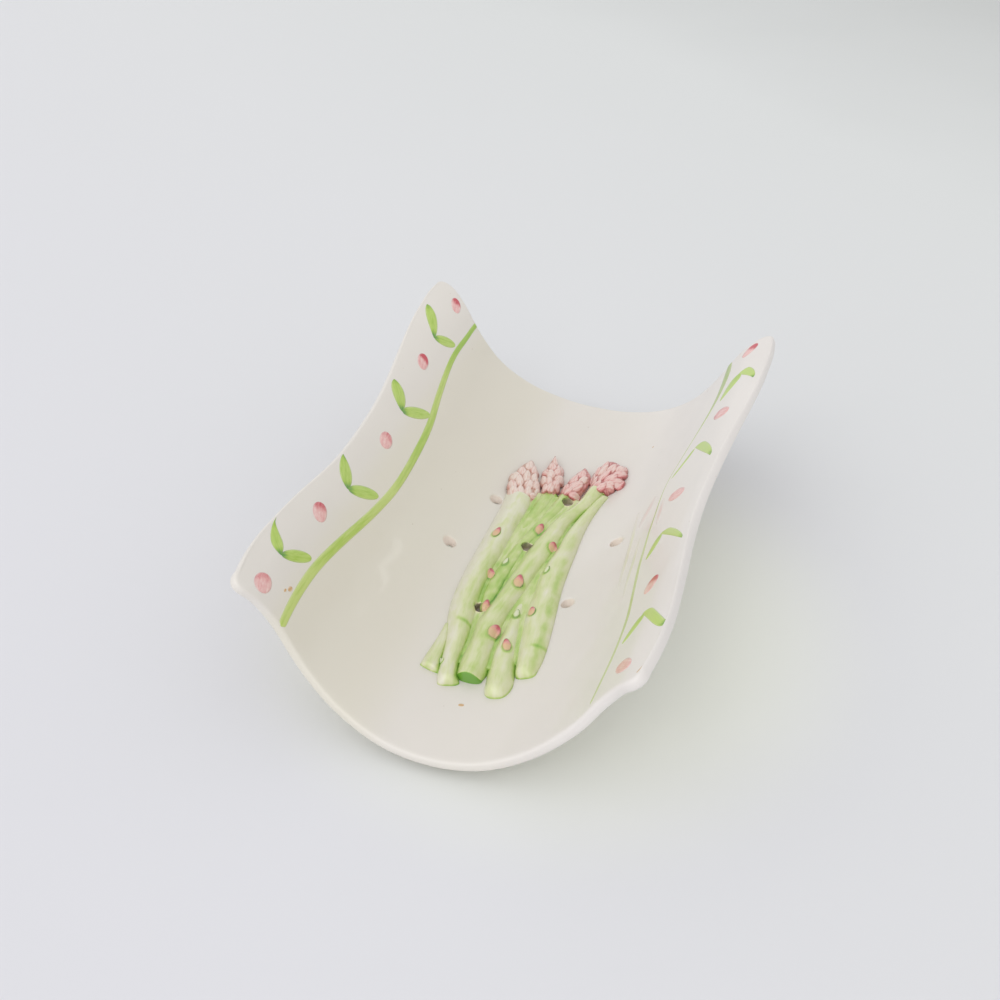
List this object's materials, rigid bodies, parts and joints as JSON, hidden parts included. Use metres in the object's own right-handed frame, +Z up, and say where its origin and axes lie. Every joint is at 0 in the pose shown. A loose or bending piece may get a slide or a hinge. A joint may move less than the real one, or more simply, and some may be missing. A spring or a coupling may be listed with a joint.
{
  "type": "asparagus plate",
  "caption": "Ceramic trough-shaped serving plate with four raised corners, a moulded asparagus bundle over drain holes, painted sprigs and four low feet.",
  "frame": {"origin": "centre of the bounding box on the surface that the feet stand on", "axes": "+Y along the trough towards its far end, +X towards the right wall, +Z up out of the trough"},
  "size_m": [0.2264, 0.323, 0.0964],
  "materials": {
    "white_glaze": "glossy",
    "green_glaze": "glossy",
    "pink_glaze": "glossy",
    "pale_green_glaze": "glossy",
    "stem_enamel": "glossy",
    "leaf_enamel": "glossy",
    "bud_enamel": "glossy"
  },
  "bodies": {
    "root": {"dish": "white_glaze", "foot_near_left": "white_glaze", "foot_near_right": "white_glaze", "foot_far_left": "white_glaze", "foot_far_right": "white_glaze", "left_spear": "green_glaze", "second_spear": "green_glaze", "third_spear": "green_glaze", "crossing_spear": "green_glaze", "right_spear": "green_glaze", "front_spear": "green_glaze", "stub_spear": "green_glaze", "left_tip": "pink_glaze", "second_tip": "pink_glaze", "third_tip": "pink_glaze", "right_tip": "pink_glaze", "pink_bracts": "pink_glaze", "green_bracts": "pale_green_glaze", "left_stem": "stem_enamel", "right_stem": "stem_enamel", "left_leaves": "leaf_enamel", "right_leaves": "leaf_enamel", "left_buds": "bud_enamel", "right_buds": "bud_enamel"}
  },
  "joints": []
}
